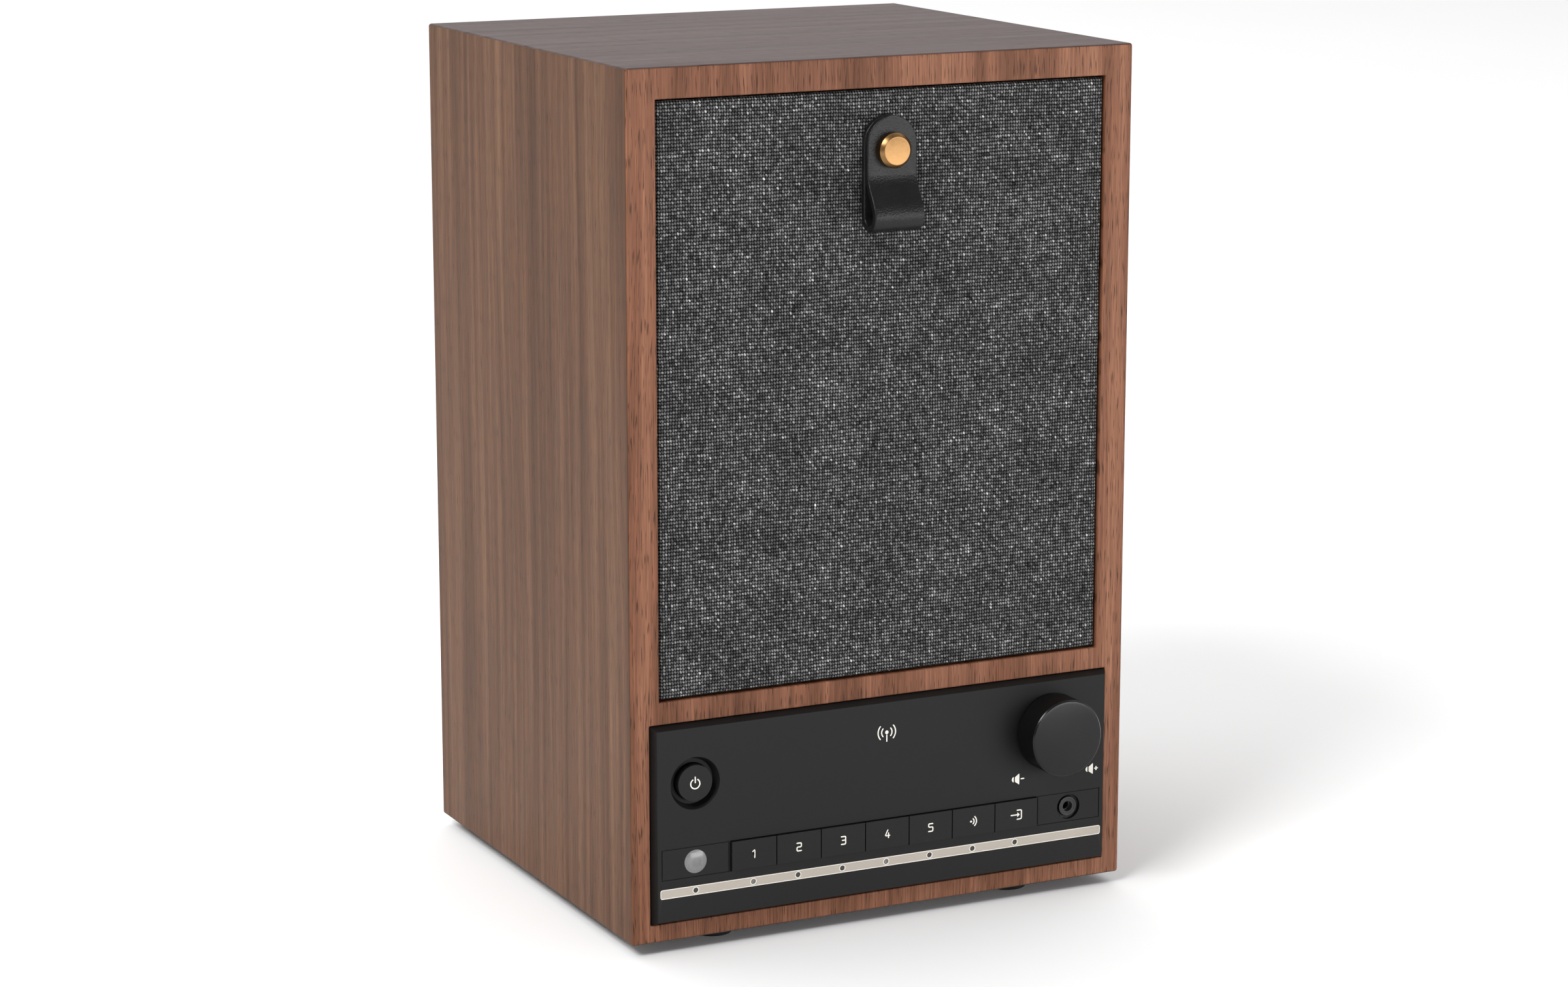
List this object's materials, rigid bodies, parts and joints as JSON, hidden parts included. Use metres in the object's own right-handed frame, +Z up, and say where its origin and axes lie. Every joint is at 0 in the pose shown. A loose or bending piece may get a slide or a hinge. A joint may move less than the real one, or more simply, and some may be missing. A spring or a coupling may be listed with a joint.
{
  "type": "tabletop radio",
  "caption": "Upright wooden tabletop radio with a pull-off fabric grille, leather pull tab, push keys, power button, volume knob and telescopic antenna.",
  "frame": {"origin": "on the table, under the middle of the whole object, antenna and knob included", "axes": "+Z up, -Y out of the front where the grille and the controls are, +X to the right of someone facing the front"},
  "size_m": [0.18, 0.1954, 0.284],
  "materials": {
    "veneer": "satin walnut veneer wrap",
    "mdf": "painted fibreboard",
    "softwood": "planed softwood",
    "panel_black": "satin moulded plastic",
    "rubber": "moulded rubber",
    "trim_beige": "satin champagne lacquer",
    "clear_plastic": "smoked clear plastic",
    "dark_steel": "black zinc",
    "steel": "plated steel",
    "chrome": "polished chrome",
    "brass": "satin turned brass",
    "fabric": "mottled grey basket weave",
    "leather": "fine grained black leather",
    "cone_paper": "pressed paper",
    "coil_copper": "copper winding",
    "circuit": "solder-masked board",
    "aluminium": "extruded aluminium",
    "ferrite": "ferrite ring magnet",
    "nylon": "nylon"
  },
  "bodies": {
    "cabinet": {"left_side": "veneer", "right_side": "veneer", "top_board": "veneer", "bottom_board": "veneer", "front_board": "veneer", "baffle": "mdf", "shelf": "mdf", "rear_panel": "mdf", "glue_blocks": "softwood", "panel_screws": "dark_steel", "feet": "rubber", "foot_screws": "steel", "bass_port": "panel_black", "grille_cups": "rubber", "woofer_basket": "dark_steel", "woofer_magnet": "ferrite", "woofer_suspension": "rubber", "driver_screws": "dark_steel", "tweeter_body": "panel_black", "tweeter_dome": "fabric", "control_fascia": "panel_black", "indicator_strip": "trim_beige", "light_pipes": "clear_plastic", "ir_lens": "clear_plastic", "control_board": "circuit", "tact_switches": "panel_black", "fascia_screws": "steel", "encoder_body": "steel", "audio_jacks": "panel_black", "jack_collars": "dark_steel", "main_board": "circuit", "heat_sink": "aluminium", "tuner_module": "steel", "power_board": "circuit", "transformer": "nylon", "board_standoffs": "nylon", "terminal_plate": "panel_black", "mains_inlet": "panel_black", "antenna_base": "panel_black"},
    "power_button": {"power_button": "panel_black"},
    "key_1": {"key_1": "panel_black"},
    "key_2": {"key_2": "panel_black"},
    "key_3": {"key_3": "panel_black"},
    "key_4": {"key_4": "panel_black"},
    "key_5": {"key_5": "panel_black"},
    "key_6": {"key_6": "panel_black"},
    "key_7": {"key_7": "panel_black"},
    "volume_knob": {"volume_knob": "panel_black", "encoder_shaft": "steel"},
    "grille": {"grille_frame": "panel_black", "grille_fabric": "fabric", "leather_tab": "leather", "tab_stud": "brass"},
    "speaker_cone": {"woofer_cone": "cone_paper", "voice_coil": "coil_copper"},
    "antenna_swivel": {"antenna_yoke": "panel_black"},
    "antenna_arm": {"antenna_tube_1": "chrome"},
    "antenna_section_2": {"antenna_tube_2": "chrome"},
    "antenna_section_3": {"antenna_tube_3": "chrome"},
    "antenna_end": {"antenna_tip": "chrome"}
  },
  "joints": [
    {"name": "power_press", "type": "slide", "parent": "cabinet", "child": "power_button", "axis": [0, 1, 0], "range_m": [0, 0.0008], "stiffness_N_per_m": 800},
    {"name": "key_1_press", "type": "slide", "parent": "cabinet", "child": "key_1", "axis": [0, 1, 0], "range_m": [0, 0.0006], "stiffness_N_per_m": 800},
    {"name": "key_2_press", "type": "slide", "parent": "cabinet", "child": "key_2", "axis": [0, 1, 0], "range_m": [0, 0.0006], "stiffness_N_per_m": 800},
    {"name": "key_3_press", "type": "slide", "parent": "cabinet", "child": "key_3", "axis": [0, 1, 0], "range_m": [0, 0.0006], "stiffness_N_per_m": 800},
    {"name": "key_4_press", "type": "slide", "parent": "cabinet", "child": "key_4", "axis": [0, 1, 0], "range_m": [0, 0.0006], "stiffness_N_per_m": 800},
    {"name": "key_5_press", "type": "slide", "parent": "cabinet", "child": "key_5", "axis": [0, 1, 0], "range_m": [0, 0.0006], "stiffness_N_per_m": 800},
    {"name": "key_6_press", "type": "slide", "parent": "cabinet", "child": "key_6", "axis": [0, 1, 0], "range_m": [0, 0.0006], "stiffness_N_per_m": 800},
    {"name": "key_7_press", "type": "slide", "parent": "cabinet", "child": "key_7", "axis": [0, 1, 0], "range_m": [0, 0.0006], "stiffness_N_per_m": 800},
    {"name": "volume_turn", "type": "hinge", "parent": "cabinet", "child": "volume_knob", "pos_m": [0.0615, -0.0913, 0.0575], "axis": [0, -1, 0], "continuous": true},
    {"name": "grille_pull", "type": "slide", "parent": "cabinet", "child": "grille", "axis": [0, -1, 0], "range_m": [0, 0.03]},
    {"name": "cone_travel", "type": "slide", "parent": "cabinet", "child": "speaker_cone", "axis": [0, -1, 0], "range_m": [-0.003, 0.003], "stiffness_N_per_m": 1200},
    {"name": "antenna_swivel_turn", "type": "hinge", "parent": "cabinet", "child": "antenna_swivel", "pos_m": [0.058, 0.0847, 0.252], "axis": [0, 1, 0], "range_deg": [-180, 180]},
    {"name": "antenna_tilt", "type": "hinge", "parent": "antenna_swivel", "child": "antenna_arm", "pos_m": [0.058, 0.0932, 0.252], "axis": [1, 0, 0], "range_deg": [0, 90]},
    {"name": "antenna_pull_2", "type": "slide", "parent": "antenna_arm", "child": "antenna_section_2", "axis": [0, 0, -1], "range_m": [0, 0.105]},
    {"name": "antenna_pull_3", "type": "slide", "parent": "antenna_section_2", "child": "antenna_section_3", "axis": [0, 0, -1], "range_m": [0, 0.105]},
    {"name": "antenna_pull_4", "type": "slide", "parent": "antenna_section_3", "child": "antenna_end", "axis": [0, 0, -1], "range_m": [0, 0.105]}
  ]
}
